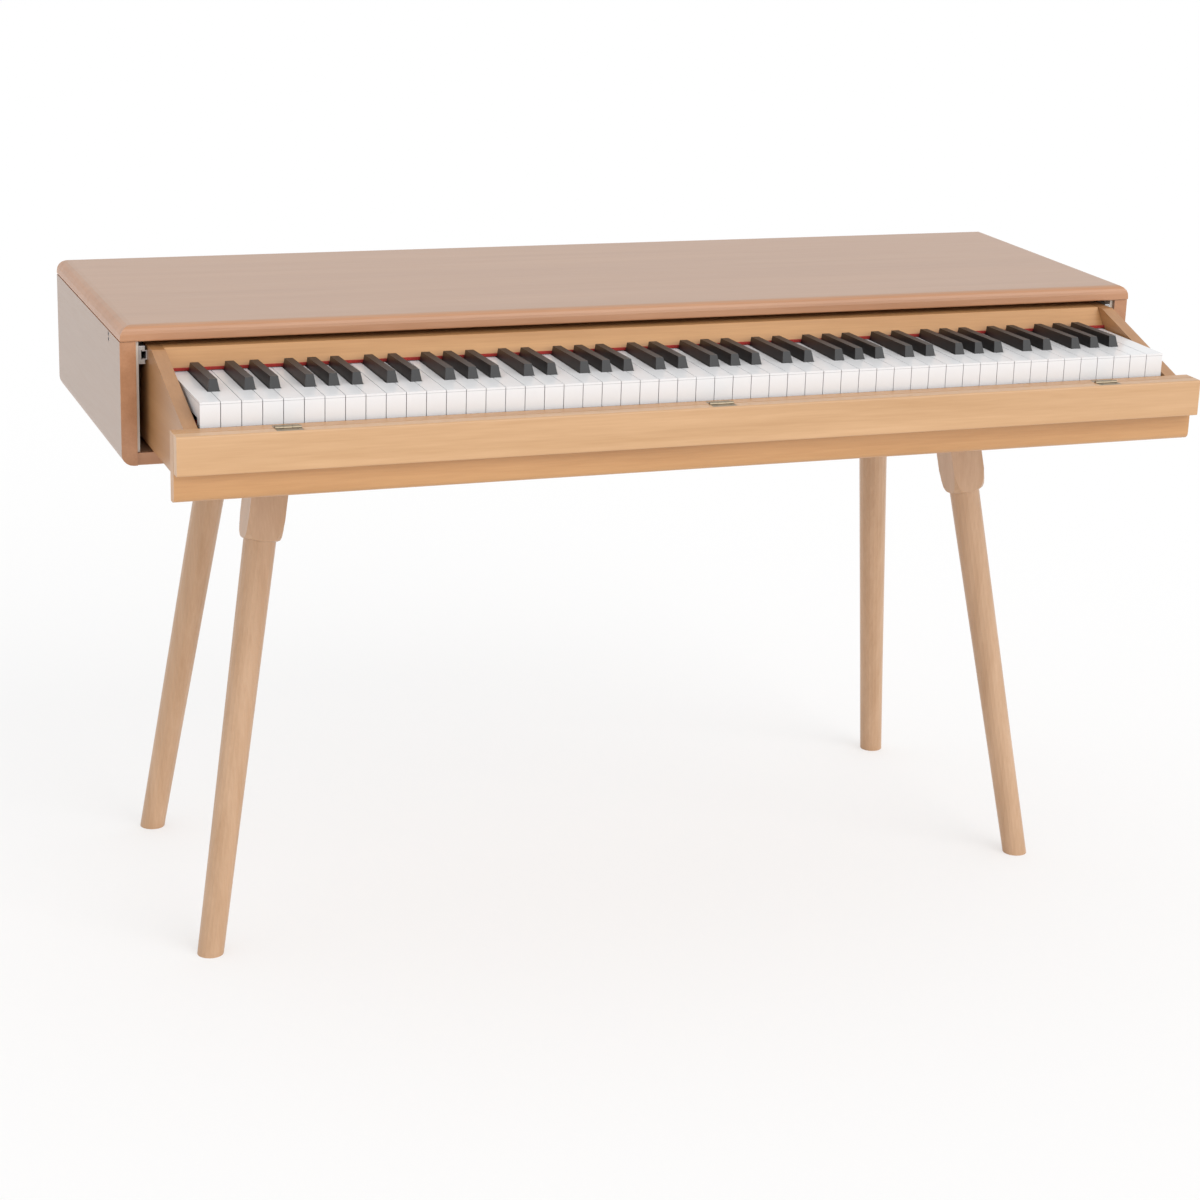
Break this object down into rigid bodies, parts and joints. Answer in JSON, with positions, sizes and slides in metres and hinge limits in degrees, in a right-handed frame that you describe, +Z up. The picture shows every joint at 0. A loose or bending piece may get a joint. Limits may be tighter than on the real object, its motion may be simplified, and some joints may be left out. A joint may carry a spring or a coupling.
{
  "type": "digital piano",
  "caption": "Digital piano in a pale wooden desk casing, with a pull-out keyboard drawer, a folding front flap and four splayed legs.",
  "frame": {"origin": "middle of the footprint, on the floor", "axes": "+X to the player's right along the keyboard, +Y to the back, +Z up"},
  "size_m": [1.325, 0.6668, 0.7955],
  "materials": {
    "wood": "satin lacquered beech",
    "white_plastic": "moulded, satin gloss",
    "black_plastic": "fine matt",
    "felt": "wool felt",
    "hinge_brass": "dull brass plated",
    "zinc_steel": "zinc plated",
    "pale_plate": "satin beige paint",
    "nylon": "natural nylon",
    "grey_plastic": "moulded, matt",
    "circuit_board": "solder mask",
    "cone_paper": "pressed paper"
  },
  "bodies": {
    "casing": {"top_panel": "wood", "side_panel_left": "wood", "side_panel_right": "wood", "bottom_panel": "wood", "back_panel": "wood", "slide_plate_left": "pale_plate", "slide_plate_right": "pale_plate", "slide_channel_left": "zinc_steel", "slide_channel_right": "zinc_steel", "slide_guide_left": "nylon", "slide_guide_right": "nylon", "side_port_lower": "grey_plastic", "side_port_upper": "grey_plastic", "leg_front_left": "wood", "leg_front_right": "wood", "leg_back_left": "wood", "leg_back_right": "wood", "power_inlet": "grey_plastic"},
    "drawer": {"cheek_left": "wood", "cheek_right": "wood", "drawer_floor": "wood", "front_rail": "wood", "fallboard": "wood", "name_felt": "felt", "drawer_cover": "wood", "drawer_back": "wood", "slide_runner_left": "zinc_steel", "slide_runner_right": "zinc_steel", "key_chassis": "grey_plastic", "pivot_rail": "nylon", "key_stop_felt": "felt", "contact_board": "circuit_board", "speaker_basket_left": "grey_plastic", "speaker_basket_right": "grey_plastic", "speaker_cone_left": "cone_paper", "speaker_cone_right": "cone_paper", "main_board": "circuit_board", "hinge_pin_leaf_left": "hinge_brass", "hinge_pin_leaf_middle": "hinge_brass", "hinge_pin_leaf_right": "hinge_brass", "white_keys_bass": "white_plastic", "white_keys_treble": "white_plastic", "black_keys_bass": "black_plastic", "black_keys_treble": "black_plastic"},
    "flap": {"flap": "wood", "hinge_flap_leaf_left": "hinge_brass", "hinge_flap_leaf_middle": "hinge_brass", "hinge_flap_leaf_right": "hinge_brass"},
    "key_c": {"white_key_c": "white_plastic"},
    "key_d": {"white_key_d": "white_plastic"},
    "key_e": {"white_key_e": "white_plastic"},
    "key_f": {"white_key_f": "white_plastic"},
    "key_g": {"white_key_g": "white_plastic"},
    "key_a": {"white_key_a": "white_plastic"},
    "key_b": {"white_key_b": "white_plastic"},
    "key_c_sharp": {"black_key_c_sharp": "black_plastic"},
    "key_d_sharp": {"black_key_d_sharp": "black_plastic"},
    "key_f_sharp": {"black_key_f_sharp": "black_plastic"},
    "key_g_sharp": {"black_key_g_sharp": "black_plastic"},
    "key_a_sharp": {"black_key_a_sharp": "black_plastic"}
  },
  "joints": [
    {"name": "drawer_slide", "type": "slide", "parent": "casing", "child": "drawer", "axis": [0, 1, 0], "range_m": [0, 0.184]},
    {"name": "flap_hinge", "type": "hinge", "parent": "drawer", "child": "flap", "pos_m": [0, -0.31689, 0.7188], "axis": [-1, 0, 0], "range_deg": [0, 180]},
    {"name": "key_c_rock", "type": "hinge", "parent": "drawer", "child": "key_c", "pos_m": [-0.05875, -0.04939, 0.73685], "axis": [1, 0, 0], "range_deg": [0, 2.3], "stiffness_Nm_per_rad": 1, "springref_deg": -8.59},
    {"name": "key_d_rock", "type": "hinge", "parent": "drawer", "child": "key_d", "pos_m": [-0.03525, -0.04939, 0.73685], "axis": [1, 0, 0], "range_deg": [0, 2.3], "stiffness_Nm_per_rad": 1, "springref_deg": -8.59},
    {"name": "key_e_rock", "type": "hinge", "parent": "drawer", "child": "key_e", "pos_m": [-0.01175, -0.04939, 0.73685], "axis": [1, 0, 0], "range_deg": [0, 2.3], "stiffness_Nm_per_rad": 1, "springref_deg": -8.59},
    {"name": "key_f_rock", "type": "hinge", "parent": "drawer", "child": "key_f", "pos_m": [0.01175, -0.04939, 0.73685], "axis": [1, 0, 0], "range_deg": [0, 2.3], "stiffness_Nm_per_rad": 1, "springref_deg": -8.59},
    {"name": "key_g_rock", "type": "hinge", "parent": "drawer", "child": "key_g", "pos_m": [0.03525, -0.04939, 0.73685], "axis": [1, 0, 0], "range_deg": [0, 2.3], "stiffness_Nm_per_rad": 1, "springref_deg": -8.59},
    {"name": "key_a_rock", "type": "hinge", "parent": "drawer", "child": "key_a", "pos_m": [0.05875, -0.04939, 0.73685], "axis": [1, 0, 0], "range_deg": [0, 2.3], "stiffness_Nm_per_rad": 1, "springref_deg": -8.59},
    {"name": "key_b_rock", "type": "hinge", "parent": "drawer", "child": "key_b", "pos_m": [0.08225, -0.04939, 0.73685], "axis": [1, 0, 0], "range_deg": [0, 2.3], "stiffness_Nm_per_rad": 1, "springref_deg": -8.59},
    {"name": "key_c_sharp_rock", "type": "hinge", "parent": "drawer", "child": "key_c_sharp", "pos_m": [-0.0495, -0.04939, 0.73685], "axis": [1, 0, 0], "range_deg": [0, 2.3], "stiffness_Nm_per_rad": 1, "springref_deg": -8.59},
    {"name": "key_d_sharp_rock", "type": "hinge", "parent": "drawer", "child": "key_d_sharp", "pos_m": [-0.021, -0.04939, 0.73685], "axis": [1, 0, 0], "range_deg": [0, 2.3], "stiffness_Nm_per_rad": 1, "springref_deg": -8.59},
    {"name": "key_f_sharp_rock", "type": "hinge", "parent": "drawer", "child": "key_f_sharp", "pos_m": [0.01975, -0.04939, 0.73685], "axis": [1, 0, 0], "range_deg": [0, 2.3], "stiffness_Nm_per_rad": 1, "springref_deg": -8.59},
    {"name": "key_g_sharp_rock", "type": "hinge", "parent": "drawer", "child": "key_g_sharp", "pos_m": [0.047, -0.04939, 0.73685], "axis": [1, 0, 0], "range_deg": [0, 2.3], "stiffness_Nm_per_rad": 1, "springref_deg": -8.59},
    {"name": "key_a_sharp_rock", "type": "hinge", "parent": "drawer", "child": "key_a_sharp", "pos_m": [0.07425, -0.04939, 0.73685], "axis": [1, 0, 0], "range_deg": [0, 2.3], "stiffness_Nm_per_rad": 1, "springref_deg": -8.59}
  ]
}
